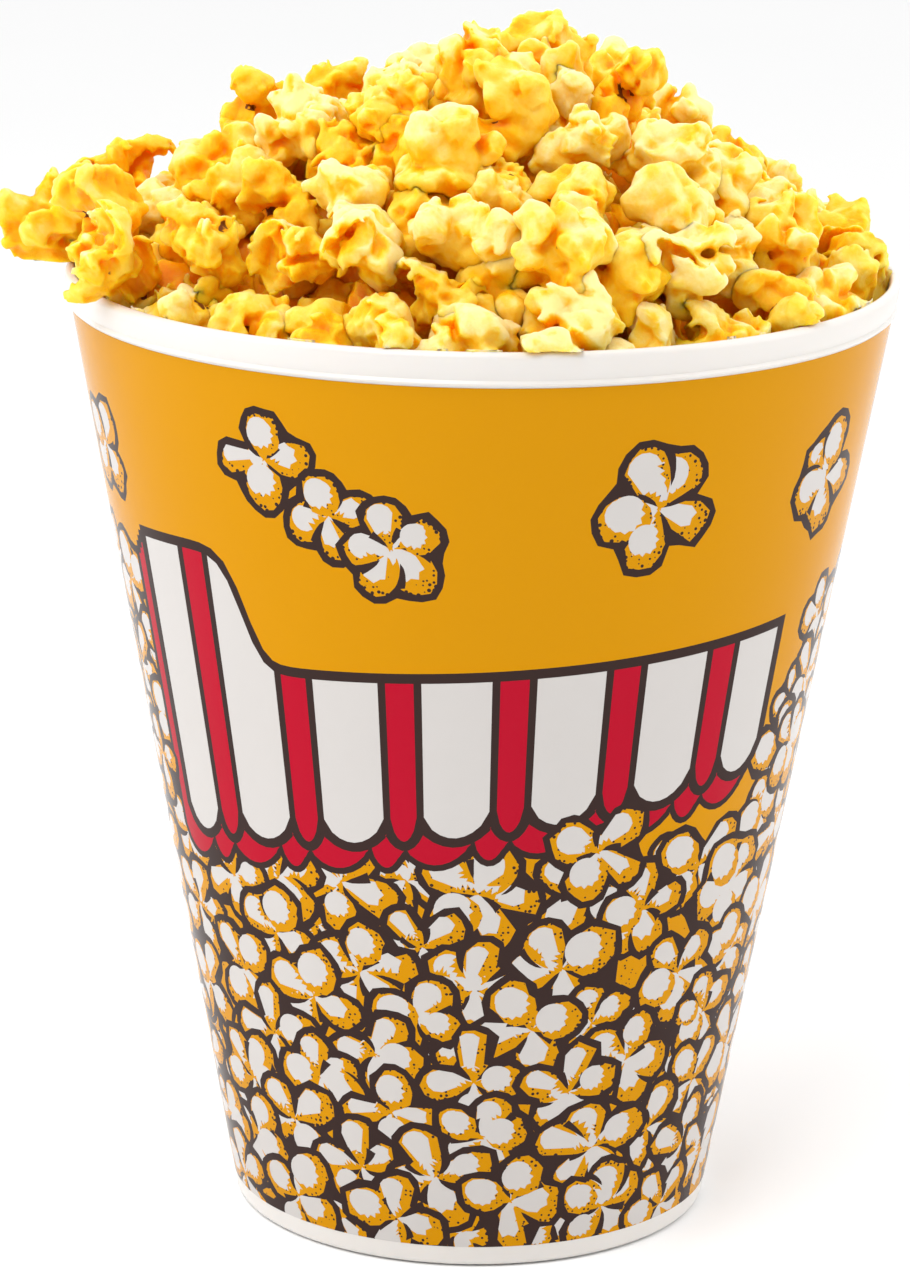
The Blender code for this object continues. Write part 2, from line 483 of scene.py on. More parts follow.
def inked(points, edges, shapes):
    """The panel cut into triangles along the edges: corners, triangles and the ink of each."""
    cut = delaunay_2d_cdt(points, edges, [], 0, 0.004, False)
    corners = np.array([tuple(c) for c in cut[0]])
    triangles = np.array([tuple(f) for f in cut[2]])
    middle = corners[triangles].mean(axis=1)
    low = np.array((-0.5 * PANEL * DEGREE_MM, PRINT_LOW))
    high = np.array((0.5 * PANEL * DEGREE_MM, PRINT_HIGH))
    kept = ((middle > low) & (middle < high)).all(axis=1)
    triangles = triangles[kept]
    middle = middle[kept]
    ink = np.zeros(len(triangles), dtype=np.int32)
    for name, outline, _ in shapes:
        shape = np.array(outline) * (DEGREE_MM, 1.0)
        near = ((middle > shape.min(axis=0)) & (middle < shape.max(axis=0))).all(axis=1)
        near = np.nonzero(near)[0]
        ink[near[inside_outline(middle[near], shape)]] = INKS.index(name)
    return corners, triangles, ink


def ink_borders(triangles, ink):
    """The edges between two inks, and those round the panel."""
    sides = {}
    for triangle, color in zip(triangles.tolist(), ink.tolist()):
        for a, b in zip(triangle, triangle[1:] + triangle[:1]):
            sides.setdefault((min(a, b), max(a, b)), []).append(color)
    return np.array([side for side, colors in sides.items() if len(colors) == 1 or colors[0] != colors[1]])


def subdivided(outline):
    """The same outline with no side longer than a step of the print's plain points."""
    points = []
    for (ax, ay), (bx, by) in zip(outline, outline[1:] + outline[:1]):
        parts = max(1, math.ceil(abs(bx - ax) / GRID_STEP[0]), math.ceil(abs(by - ay) / (2.0 * GRID_STEP[1])))
        points += [(ax + (bx - ax) * i / parts, ay + (by - ay) * i / parts) for i in range(parts)]
    return points


def inside_outline(places, outline):
    """Which places lie inside a closed outline, by counting the edges to their right."""
    x, y = places[:, 0], places[:, 1]
    count = np.zeros(len(places), dtype=int)
    for (ax, ay), (bx, by) in zip(outline, np.roll(outline, -1, axis=0)):
        crosses = (ay > y) != (by > y)
        if ay != by:
            count += crosses & (x < ax + (y - ay) * (bx - ax) / (by - ay))
    return count % 2 == 1


def make_print():
    """The printed skin round the wall: the flat print wrapped on and repeated."""
    flat, triangles, ink, share = flat_print()
    used = np.unique(triangles)
    number = np.zeros(len(flat), dtype=int)
    number[used] = np.arange(len(used))
    flat, share, triangles = flat[used], share[used], number[triangles]
    corners, faces, inks, shares, places = [], [], [], [], []
    copies = int(360.0 / PANEL)
    for copy in range(copies):
        angle = np.radians(flat[:, 0] + copy * PANEL)
        height = flat[:, 1] * MM
        radius = wall_radius(flat[:, 1]) * MM + PRINT_PROUD
        corners.append(np.stack([radius * np.sin(angle), -radius * np.cos(angle), height], axis=1))
        faces.append(triangles + copy * len(flat))
        inks.append(ink)
        shares.append(share)
        across = (flat[:, 0] + PANEL / 2.0) / PANEL / copies + copy / copies
        places.append(np.stack([across, flat[:, 1] / UV_HEIGHT], axis=1))
    corners, faces, inks = np.vstack(corners), np.vstack(faces), np.concatenate(inks)
    mesh = mesh_from("bucket_print", corners, faces)
    mesh.polygons.foreach_set("material_index", inks)
    set_attribute(mesh, "edge_share", np.concatenate(shares))
    unwrap = mesh.uv_layers.new(name="OFBake")
    unwrap.data.foreach_set("uv", np.vstack(places)[faces.ravel()].astype(np.float32).ravel())
    normals = corners * (1.0, 1.0, 0.0)
    normals *= math.cos(WALL_LEAN) / np.linalg.norm(normals, axis=1)[:, None]
    normals[:, 2] = -math.sin(WALL_LEAN)
    mesh.normals_split_custom_set_from_vertices([tuple(n) for n in normals])
    for name in INKS:
        mesh.materials.append(INK_MATERIALS[name]())
    placed_piece("bucket_print", mesh, "bucket")


def arc(centre, radius, start, end, count):
    """Points (radius, height) in mm on an arc; the angles are in degrees."""
    angles = [math.radians(start + (end - start) * i / count) for i in range(count + 1)]
    return [(centre[0] + radius * math.cos(a), centre[1] + radius * math.sin(a)) for a in angles]


def shell_profile():
    """The shell's section in mm, from the middle of the floor over the rim to the middle of the foot."""
    top = RIM_TOP / MM
    wall = WALL / MM
    floor = FLOOR_TOP / MM
    outside = RIM_RADIUS / MM
    mouth = outside - LIP
    section = [(0.0, floor), (30.0, floor)]
    bend = (wall_radius(floor + FLOOR_ROUND) - wall - FLOOR_ROUND - 0.05, floor + FLOOR_ROUND)
    section += arc(bend, FLOOR_ROUND, -90.0, -math.degrees(WALL_LEAN), 6)
    section += [(wall_radius(z) - wall, z) for z in (40.0, 80.0, 120.0, 160.0, 200.0, 212.0)]
    section += arc((mouth + 0.7, top - 0.7), 0.7, 174.0, 90.0, 6)
    section += arc((outside - 1.35, top - 1.35), 1.35, 90.0, -8.0, 10)
    section += [(outside - 0.08, top - 2.7), (outside - 0.24, top - 3.8)]
    section += [(outside - 0.50, top - 4.9), (outside - 0.85, top - 6.1)]
    section += arc((outside - 0.80, top - 6.85), 0.42, 40.0, -80.0, 7)
    section += [(wall_radius(top - 7.3), top - 7.3)]
    section += [(wall_radius(PRINT_HIGH), PRINT_HIGH)]
    section += [(wall_radius(z) - PRINT_SEAT, z) for z in (PRINT_HIGH - 0.1, 140.0, 70.0, PRINT_LOW + 0.1)]
    section += [(wall_radius(PRINT_LOW), PRINT_LOW)]
    section += arc((wall_radius(FOOT_ROUND) - FOOT_ROUND, FOOT_ROUND), FOOT_ROUND, 0.0, -90.0, 6)
    return section + [(30.0, 0.0), (0.0, 0.0)]


def make_shell():
    """The plain white bucket under the print."""
    section = shell_profile()
    steps = 192
    corners = []
    for r, z in section[1:-1]:
        for i in range(steps):
            angle = 2.0 * math.pi * i / steps
            corners.append((r * MM * math.cos(angle), r * MM * math.sin(angle), z * MM))
    rings = len(section) - 2
    faces = tube_faces(steps, rings)
    for centre, start in ((section[0], 0), (section[-1], (rings - 1) * steps)):
        corners.append((0.0, 0.0, centre[1] * MM))
        for i in range(steps):
            j = (i + 1) % steps
            turn = (start + i, start + j) if start == 0 else (start + j, start + i)
            faces.append((*turn, len(corners) - 1))
    mesh = mesh_from("bucket_shell", np.array(corners), np.array(faces))
    mesh.set_sharp_from_angle(angle=math.radians(35.0))
    mesh.materials.append(white_plastic())
    placed_piece("bucket_shell", mesh, "bucket")


# ---------------------------------------------------------------- popcorn: sizes
GRID = 0.50                  # mm, cell of the field that a kernel is cut from
KERNEL_FACES = 4750          # triangles kept in one kernel
KERNEL_SIZE = (21.5, 27.5)   # mm, the longest side of a kernel's box
WARP = 0.95                  # mm, how far a kernel's puffs are pushed out of round
PEBBLES = 0.26               # mm, height of the fine waves of its skin
RIDGES = 0.75                # mm, height of its broad ridges
FOLDS = 0.95                 # mm, depth of its wide grooves
CRACKS = 0.55                # mm, depth of its narrow grooves
HEART = Vector((0.0, 0.0, 0.160))   # the heap's outline is measured from here
CORE_DEPTH = 0.0245          # how far under the heap's outline its solid core begins
FILL_DEPTH = 0.0125          # the kernels that show in the gaps between the outer ones
FILL_SPACING = 0.0142
OUTER_DEPTH = 0.0085         # how deep the centres of the outer kernels lie
INNER_DEPTH = 0.0240
OUTER_SPACING = 0.0172
RIM_KERNELS = 28             # kernels in the row against the wall
RIM_ROW_INSET = (0.0095, 0.0125)
RIM_ROW_RISE = (-0.0040, 0.0020)
INNER_SPACING = 0.0185
KERNEL_ROOM = 0.0105         # radius that a kernel's centre is kept from the wall by
WALL_CLEARANCE = 0.0008      # corners of kernels stay this far inside the wall
RIM_CLEARANCE = 0.0003       # and this far above the rim
RIM_ZONE = 0.0035            # below the rim's top, where a corner is lifted rather than pulled in
CORE_COLUMNS, CORE_ROWS = 220, 64
CORE_LOWEST = 22.0           # degrees above the horizontal, seen from HEART, where the core's skin ends
CORE_LUMPS = 0.0034          # how far the core's lumps stand out
CORE_CLEARANCE = 0.003


def waves(points, draw, count, length):
    """Smooth noise of about -1 to 1: a sum of sines in random directions, mm in, mm wave."""
    total = np.zeros(points.shape[:-1])
    for _ in range(count):
        direction = draw.normal(size=3)
        direction /= np.linalg.norm(direction)
        step = 2.0 * math.pi / (length * draw.uniform(0.7, 1.4))
        total += np.sin(points @ (direction * step) + draw.uniform(0.0, 6.283))
    return total / math.sqrt(count)


def turned(draw):
    """A random rotation matrix."""
    q = draw.normal(size=4)
    w, x, y, z = q / np.linalg.norm(q)
    return np.array([
        [1 - 2 * (y * y + z * z), 2 * (x * y - z * w), 2 * (x * z + y * w)],
        [2 * (x * y + z * w), 1 - 2 * (x * x + z * z), 2 * (y * z - x * w)],
        [2 * (x * z - y * w), 2 * (y * z + x * w), 1 - 2 * (x * x + y * y)],
    ])


def unit(vector):
    return vector / np.linalg.norm(vector)


def spread(draw, count, cap=-1.0):
    """Directions spread over the sphere, none with z under cap."""
    found = []
    while len(found) < count:
        tries = [unit(draw.normal(size=3)) for _ in range(24)]
        tries = [d for d in tries if d[2] >= cap]
        if not tries:
            continue
        if not found:
            found.append(tries[0])
            continue
        near = [max(float(d @ f) for f in found) for d in tries]
        found.append(tries[int(np.argmin(near))])
    return found


# A form is a list of ellipsoids (centre, radii, rotation) and a list of petals
# (centre, axis, radius, thickness, reach), in mm, and the places of its hull bits.

def lobe(centre, radii, draw):
    """An ellipsoid turned at random."""
    return (np.asarray(centre, float), np.asarray(radii, float), turned(draw))


def knobs(draw, centre, size, count, small):
    """Small puffs over the surface of a larger one."""
    found = []
    for direction in spread(draw, count):
        radius = size * draw.uniform(*small)
        found.append(lobe(centre + direction * size * 0.86, radius * draw.uniform(0.85, 1.2, 3), draw))
    return found


def round_form(draw):
    """A knobbly, nearly round kernel."""
    lobes = [lobe((0, 0, 0), (6.0, 6.0, 5.6), draw)]
    for direction in spread(draw, 11, -0.75):
        radius = draw.uniform(2.9, 4.3)
        centre = direction * draw.uniform(5.2, 7.0)
        lobes.append(lobe(centre, radius * draw.uniform(0.85, 1.15, 3), draw))
        if draw.random() < 0.5:
            lobes += knobs(draw, centre, radius, 3, (0.38, 0.55))
    return lobes, [], [np.array((0.0, 0.0, -6.4))]


def butterfly_form(draw):
    """Three to five big wings spreading from the hull."""
    lobes = [lobe((0, 0, -1.0), (4.2, 4.2, 3.8), draw)]
    for direction in spread(draw, int(draw.integers(4, 6)), -0.35):
        size = draw.uniform(4.4, 6.2)
        centre = direction * draw.uniform(5.6, 7.6)
        lobes.append(lobe(centre, size * draw.uniform(0.72, 1.12, 3), draw))
        lobes += knobs(draw, centre, size, 4, (0.36, 0.6))
    for direction in spread(draw, 3, -0.9):
        lobes.append(lobe(direction * 4.5 + (0, 0, -2.0), draw.uniform(2.0, 3.0, 3), draw))
    return lobes, [], [np.array((0.4, 0.2, -4.6)), unit(draw.normal(size=3)) * 5.2]


def petal_form(draw):
    """Broad curled flakes round a few puffs."""
    lobes = [lobe((0, 0, -0.5), (4.4, 4.0, 3.8), draw)]
    petals = []
    for direction in spread(draw, 3, -0.2):
        radius = draw.uniform(7.0, 11.0)
        side = unit(np.cross(direction, draw.normal(size=3)))
        axis = unit(direction * 0.45 + side)
        centre = direction * 6.6 - axis * radius * 0.85
        petals.append((centre, axis, radius, draw.uniform(1.9, 2.7), draw.uniform(5.6, 7.8)))
    for direction in spread(draw, 5, -0.8):
        size = draw.uniform(2.8, 4.4)
        centre = direction * draw.uniform(3.8, 5.6)
        lobes.append(lobe(centre, size * draw.uniform(0.8, 1.15, 3), draw))
        lobes += knobs(draw, centre, size, 2, (0.4, 0.6))
    return lobes, petals, [np.array((0.0, 0.5, -4.4))]


def curl_form(draw):
    """A kernel with a long wing that hooks round a hollow."""
    lobes = []
    count = 9
    hook = draw.uniform(3.6, 4.6)
    for i in range(count):
        angle = hook * i / count
        size = 3.0 + 2.0 * math.sin(math.pi * (i + 0.8) / (count + 1.0))
        centre = np.array((6.6 * math.cos(angle), 6.6 * math.sin(angle), draw.uniform(-1.4, 1.4)))
        lobes.append(lobe(centre, size * np.array((1.0, 1.0, draw.uniform(1.0, 1.35))), draw))
        if i % 2 == 0:
            lobes += knobs(draw, centre, size, 3, (0.38, 0.6))
    lobes.append(lobe((1.0, 1.0, -3.2), (4.6, 4.6, 2.6), draw))
    return lobes, [], [np.array((0.8, 0.4, -0.6))]


def ellipsoid_distance(points, centre, radii, rotation):
    """Nearly the distance to an ellipsoid's skin, negative inside."""
    local = (points - centre) @ rotation
    near = np.linalg.norm(local / radii, axis=-1)
    slope = np.linalg.norm(local / radii ** 2, axis=-1)
    return near * (near - 1.0) / np.maximum(slope, 1e-6)


def petal_distance(points, centre, axis, radius, thickness, reach):
    """A round piece of a thick spherical skin."""
    local = points - centre
    shell = np.abs(np.linalg.norm(local, axis=-1) - radius) - thickness / 2.0
    along = local @ axis
    beside = np.linalg.norm(local - along[..., None] * axis, axis=-1)
    edge = np.where(along > 0.0, beside - reach, 9.0)
    rounded = np.hypot(np.maximum(shell + 1.0, 0.0), np.maximum(edge + 1.0, 0.0)) - 1.0
    return np.where((shell > -1.0) | (edge > -1.0), rounded, np.maximum(shell, edge))


def blend(a, b, width):
    """The nearer of two distances, eased over a width where they meet."""
    ease = np.clip(0.5 + 0.5 * (b - a) / width, 0.0, 1.0)
    return b * (1.0 - ease) + a * ease - width * ease * (1.0 - ease)


def kernel_distance(points, form, seed):
    """Distance in mm to a kernel's skin, negative inside, with its folds and grooves."""
    lobes, petals, _ = form
    draw = np.random.default_rng(seed)
    shifted = points + WARP * np.stack([waves(points, draw, 4, 9.0) for _ in range(3)], axis=-1)
    total = np.full(points.shape[:-1], 50.0)
    for centre, radii, rotation in lobes:
        total = blend(total, ellipsoid_distance(shifted, centre, radii, rotation), 0.45)
    for petal in petals:
        total = blend(total, petal_distance(shifted, *petal), 0.9)
    total += PEBBLES * waves(points, draw, 6, 3.4)
    ridge = np.abs(waves(points, draw, 5, 6.5))
    total += RIDGES * (np.minimum(ridge, 1.0) - 0.5)
    fold = waves(points, draw, 5, 9.5)
    total += FOLDS * np.exp(-(fold / 0.09) ** 2)
    crack = waves(points, draw, 5, 5.5)
    total += CRACKS * np.exp(-(crack / 0.08) ** 2)
    return total


def surface_net(field, low, cell):
    """Corners and quads of the skin where a field of distances crosses nought."""
    inside = field < 0.0
    shape = np.array(field.shape) - 1
    corner = [np.array(c) for c in np.ndindex(2, 2, 2)]

    def part(array, offset):
        return array[tuple(slice(o, o + n) for o, n in zip(offset, shape))]

    votes = sum(part(inside, c).astype(int) for c in corner)
    mixed = (votes > 0) & (votes < 8)
    total = np.zeros((*shape, 3))
    count = np.zeros(tuple(shape))
    for start in corner:
        for axis in range(3):
            if start[axis]:
                continue
            end = start.copy()
            end[axis] = 1
            a = part(field, start)
            b = part(field, end)
            cut = (a < 0.0) != (b < 0.0)
            share = np.where(cut, a / np.where(cut, a - b, 1.0), 0.0)
            total += cut[..., None] * (start + share[..., None] * (end - start))
            count += cut
    index = np.full(tuple(shape), -1)
    index[mixed] = np.arange(int(mixed.sum()))
    cells = np.argwhere(mixed)
    corners = low + cell * (cells + total[mixed] / count[mixed][:, None])
    quads = []
    for axis in range(3):
        u = (axis + 1) % 3
        v = (axis + 2) % 3
        ahead = np.roll(inside, -1, axis=axis)
        cut = inside != ahead
        limit = [slice(1, n) for n in shape]
        limit[axis] = slice(0, shape[axis])
        mask = np.zeros_like(cut)
        mask[tuple(limit)] = cut[tuple(limit)]
        at = np.argwhere(mask)
        step_u = np.eye(3, dtype=int)[u]
        step_v = np.eye(3, dtype=int)[v]
        ring = [at, at - step_u, at - step_u - step_v, at - step_v]
        ids = np.stack([index[tuple(r.T)] for r in ring], axis=1)
        leaving = inside[tuple(at.T)]
        quads.append(ids[leaving])
        quads.append(ids[~leaving][:, ::-1])
    return corners, np.concatenate(quads)


def largest_island(count, triangles):
    """Which triangles belong to the largest connected part of a mesh."""
    island = np.arange(count)
    sides = np.vstack([triangles[:, [0, 1]], triangles[:, [1, 2]], triangles[:, [2, 0]]])
    while True:
        lowest = island.copy()
        near = np.minimum(island[sides[:, 0]], island[sides[:, 1]])
        np.minimum.at(lowest, sides[:, 0], near)
        np.minimum.at(lowest, sides[:, 1], near)
        lowest = lowest[lowest]
        if (lowest == island).all():
            break
        island = lowest
    return island[triangles[:, 0]] == np.bincount(island[triangles[:, 0]]).argmax()


def rows_of_three(items, field, kind=float):
    """One field of a mesh's vertices or triangles, as an array with three columns."""
    values = np.empty(len(items) * 3, dtype=kind)
    items.foreach_get(field, values)
    return values.reshape(-1, 3)


def thinned(corners, quads, target):
    """The same skin, closed and in one part, in about target triangles: corners, normals and triangles."""
    mesh = mesh_from("kernel_form", corners, quads)
    obj = linked("kernel_form", mesh)
    remesh = obj.modifiers.new("Close", "REMESH")
    remesh.mode = "VOXEL"
    remesh.voxel_size = 0.8 * GRID
    graph = bpy.context.evaluated_depsgraph_get()
    closed = obj.evaluated_get(graph)
    decimate = obj.modifiers.new("Thin", "DECIMATE")
    decimate.ratio = min(1.0, target / (2.0 * len(closed.data.polygons)))
    graph.update()
    small = bpy.data.meshes.new_from_object(obj.evaluated_get(graph))
    small.calc_loop_triangles()
    points = rows_of_three(small.vertices, "co")
    normals = rows_of_three(small.vertices, "normal")
    triangles = rows_of_three(small.loop_triangles, "vertices", np.int32)
    bpy.data.objects.remove(obj, do_unlink=True)
    bpy.data.meshes.remove(mesh)
    bpy.data.meshes.remove(small)
    triangles = triangles[largest_island(len(points), triangles)]
    used = np.unique(triangles)
    return points[used], normals[used], np.searchsorted(used, triangles)


def kernel_shape(maker, seed):
    """One kernel in mm, centred, with how creased and how near the hull each corner is."""
    draw = np.random.default_rng(seed)
    form = maker(draw)
    points = np.vstack([f[0] for f in form[0]] + [p[0] + p[1] * p[2] for p in form[1]])
    low = points.min(axis=0) - 8.5
    high = points.max(axis=0) + 8.5
    axes = [np.arange(a, b, GRID) for a, b in zip(low, high)]
    grid = np.stack(np.meshgrid(*axes, indexing="ij"), axis=-1)
    corners, quads = surface_net(kernel_distance(grid, form, seed), low, GRID)
    corners, normals, triangles = thinned(corners, quads, KERNEL_FACES)
    # how shut in each corner is, sampled along its normal; it places the hull bits, and the material turns it
    # into painted shade in creases
    crease = np.zeros(len(corners))
    for step in (0.9, 1.8, 3.4):
        clear = kernel_distance(corners + normals * step, form, seed)
        crease += np.clip(1.0 - clear / step, 0.0, 1.2) / 3.0
    hull = np.zeros(len(corners))
    for place in form[2]:
        near = np.linalg.norm((corners - place) * (0.6, 1.3, 1.0), axis=1)
        near += 0.9 * waves(corners, draw, 4, 3.0)
        hull = np.maximum(hull, np.clip((2.4 - near) / 0.8, 0.0, 1.0) * np.clip(crease * 3.0 - 0.4, 0.0, 1.0))
    centre = (corners.min(axis=0) + corners.max(axis=0)) / 2.0
    size = float(np.max(corners.max(axis=0) - corners.min(axis=0)))
    return {"corners": corners - centre, "triangles": triangles, "crease": crease, "hull": hull, "size": size}


# ---------------------------------------------------------------- popcorn: the heap

def towards(angle, rise):
    """A direction from its angle round the bucket and its angle above the horizontal."""
    return Vector((math.cos(angle) * math.cos(rise), math.sin(angle) * math.cos(rise), math.sin(rise)))


def heap_tree():
    """The popcorn solid of the CAD, ready for rays."""
    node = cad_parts["popcorn"]
    mesh = node.data
    corners = [node.matrix_world @ v.co for v in mesh.vertices]
    return BVHTree.FromPolygons(corners, [tuple(p.vertices) for p in mesh.polygons])


def heap_point(tree, direction):
    """Where a line from the heap's heart leaves the heap."""
    hit = tree.ray_cast(HEART + direction * 0.3, -direction)
    return hit[0]


def inside_radius(height):
    """Inside radius of the wall in metres at a height in metres; it works on arrays too."""
    return BASE_RADIUS + (WALL_TOP_RADIUS - BASE_RADIUS) * height / WALL_TOP - WALL


def inside_bucket(centre, radius):
    """Keeps a kernel's centre clear of the wall where it lies below the rim's top."""
    flat = math.hypot(centre.x, centre.y)
    over = centre.z - RIM_TOP
    if over < radius * 0.7:
        room = inside_radius(min(centre.z, RIM_TOP)) - radius * (0.95 if over < 0.0 else 0.6)
        if flat > room:
            centre = Vector((centre.x * room / flat, centre.y * room / flat, centre.z))
    return centre


def kept_off_bucket(corners, centre):
    """Corners that would go through the wall or the rim are moved to lie against it."""
    flat = np.hypot(corners[:, 0], corners[:, 1])
    room = inside_radius(np.minimum(corners[:, 2], RIM_TOP)) - WALL_CLEARANCE
    through = (corners[:, 2] < RIM_TOP + RIM_CLEARANCE) & (flat > room)
    outside = math.hypot(centre.x, centre.y) > inside_radius(RIM_TOP) - 0.004 and centre.z > RIM_TOP
    lift = through & ((corners[:, 2] > RIM_TOP - RIM_ZONE) | outside)
    pull = through & ~lift
    corners[lift, 2] = RIM_TOP + RIM_CLEARANCE
    corners[pull, :2] *= (room / np.maximum(flat, 1e-6))[pull, None]
    return corners


def scatter(tree, draw, spacing, depth, lowest, tries, taken=()):
    """Centres spread evenly over the heap, a given depth under its skin, clear of those taken."""
    centres = []
    for _ in range(tries):
        angle = draw.uniform(0.0, 2.0 * math.pi)
        rise = math.asin(draw.uniform(math.sin(lowest), 1.0))
        direction = towards(angle, rise)
        hit = heap_point(tree, direction)
        if hit is None:
            continue
        centre = inside_bucket(hit - direction * depth, KERNEL_ROOM)
        if all((centre - c).length > spacing for c in centres + list(taken)):
            centres.append(centre)
    return centres


def rim_row(draw):
    """Centres of the kernels that lie against the wall all the way round the mouth."""
    centres = []
    for i in range(RIM_KERNELS):
        angle = 2.0 * math.pi * (i + draw.uniform(-0.15, 0.15)) / RIM_KERNELS
        radius = inside_radius(RIM_TOP) - draw.uniform(*RIM_ROW_INSET)
        height = RIM_TOP + draw.uniform(*RIM_ROW_RISE)
        centres.append(Vector((radius * math.cos(angle), radius * math.sin(angle), height)))
    return centres


def relaxed(centres, spacing):
    """Pushes crowded centres apart a little."""
    places = np.array([list(c) for c in centres])
    anchors = places.copy()
    for _ in range(30):
        gap = places[:, None, :] - places[None, :, :]
        far = np.linalg.norm(gap, axis=2) + 1e-9
        push = np.clip(spacing - far, 0.0, None)
        push[far < 1e-8] = 0.0
        places += 0.25 * np.sum(gap / far[..., None] * push[..., None], axis=1)
        places += 0.08 * (anchors - places)
    return [inside_bucket(Vector(p), KERNEL_ROOM) for p in places]


def joined(name, shapes, placings):
    """One mesh of every placed kernel, in metres, with its colour attributes."""
    corners, triangles, crease, hull, depth, tint = [], [], [], [], [], []
    offset = 0
    for shape, centre, rotation, scale, sunk, tone in placings:
        form = shapes[shape]
        local = form["corners"] @ rotation.T * scale * MM
        outward = unit(np.array(centre - HEART))
        corners.append(kept_off_bucket(local + np.array(centre), centre))
        triangles.append(form["triangles"] + offset)
        crease.append(form["crease"])
        hull.append(form["hull"] * (tone > 0.35))
        # how deep a corner lies in the heap; the material turns this into painted shade
        depth.append(np.clip((sunk - local @ outward) / 0.030, 0.0, 1.0))
        tint.append(np.full(len(local), tone))
        offset += len(local)
    mesh = mesh_from(name, np.vstack(corners), np.vstack(triangles))
    for label, values in (("crease", crease), ("hull", hull), ("depth", depth), ("tint", tint)):
        set_attribute(mesh, label, np.concatenate(values))
    return mesh


KINDS = [
    ("popcorn_butterflies", butterfly_form, 7),
    ("popcorn_knobbly", round_form, 5),
    ("popcorn_flakes", petal_form, 8),
    ("popcorn_curls", curl_form, 5),
]


def core_point(tree, direction):
    """The core's even skin in a direction from the heap's heart."""
    return HEART + direction * ((heap_point(tree, direction) - HEART).length - CORE_DEPTH)


def core_skin(tree):
    """Rings of corners from the core's top down, clear of the wall and lumpy."""
    corners = []
    for j in range(CORE_ROWS):
        rise = math.radians(90.0 - (90.0 - CORE_LOWEST) * (j + 1) / CORE_ROWS)
        for i in range(CORE_COLUMNS):
            corners.append(tuple(core_point(tree, towards(2.0 * math.pi * i / CORE_COLUMNS, rise))))
    corners = np.array(corners)
    flat = np.hypot(corners[:, 0], corners[:, 1])
    room = inside_radius(np.minimum(corners[:, 2], RIM_TOP)) - CORE_CLEARANCE
    corners[:, :2] *= np.minimum(1.0, room / np.maximum(flat, 1e-6))[:, None]
    draw = np.random.default_rng(3)
    lumps = np.abs(waves(corners / MM, draw, 7, 11.0)) + 0.5 * np.abs(waves(corners / MM, draw, 7, 5.0))
    outward = corners - np.array(HEART)
    outward /= np.linalg.norm(outward, axis=1)[:, None]
    return corners + outward * (lumps * CORE_LUMPS)[:, None]


def make_core(tree, material):
    """The mass under the loose kernels: a lumpy solid a little smaller than the heap."""
    skin = core_skin(tree)
    base = skin[-CORE_COLUMNS:] * (0.6, 0.6, 1.0) - (0.0, 0.0, 0.02)
    top = np.array(core_point(tree, Vector((0.0, 0.0, 1.0))))
    corners = np.vstack([skin, base, top])
    low = len(skin)
    faces = tube_faces(CORE_COLUMNS, CORE_ROWS + 1)
    faces += [(i, (i + 1) % CORE_COLUMNS, len(corners) - 1) for i in range(CORE_COLUMNS)]
    faces += [(low, low + i + 1, low + i) for i in range(1, CORE_COLUMNS - 1)]
    mesh = mesh_from("popcorn_core", corners, np.array(faces))
    # painted shade: the core gets the deep orange of shut-in kernels, so the gaps between kernels look shaded
    for label, value in (("crease", 0.6), ("hull", 0.0), ("depth", 1.0), ("tint", 0.5)):
        set_attribute(mesh, label, np.full(len(corners), value))
    mesh.materials.append(material)
    placed_piece("popcorn_core", mesh, "popcorn")


def make_popcorn():
    """The heap: its core, and one piece for each kind of kernel."""
    tree = heap_tree()
    draw = np.random.default_rng(11)
    edge = rim_row(draw)
    outer = edge + scatter(tree, draw, OUTER_SPACING, OUTER_DEPTH, math.radians(31.0), 5200, edge)
    outer = relaxed(outer, 0.0190)
    between = scatter(tree, draw, FILL_SPACING, FILL_DEPTH, math.radians(26.0), 6000, outer)
    inner = scatter(tree, draw, INNER_SPACING, INNER_DEPTH, math.radians(28.0), 3000, between)
    shapes = []
    kinds = []
    for number, (_, maker, count) in enumerate(KINDS):
        kinds.append(range(len(shapes), len(shapes) + count))
        shapes += [kernel_shape(maker, 100 * number + i + 1) for i in range(count)]
    layers = [(centre, OUTER_DEPTH) for centre in outer]
    layers += [(centre, FILL_DEPTH) for centre in between]
    layers += [(centre, INNER_DEPTH) for centre in inner]
    placings = [[] for _ in KINDS]
    for place, (centre, sunk) in zip(draw.permutation(len(layers)), layers):
        kind = int(place) % len(KINDS)
        shape = int(draw.choice(kinds[kind]))
        scale = draw.uniform(*KERNEL_SIZE) / shapes[shape]["size"]
        placings[kind].append((shape, centre, turned(draw), scale, sunk, draw.uniform(0.0, 1.0)))
    material = popcorn_material()
    make_core(tree, material)
    for (name, _, _), placed in zip(KINDS, placings):
        mesh = joined(name, shapes, placed)
        mesh.materials.append(material)
        placed_piece(name, mesh, "popcorn")


# ---------------------------------------------------------------- materials

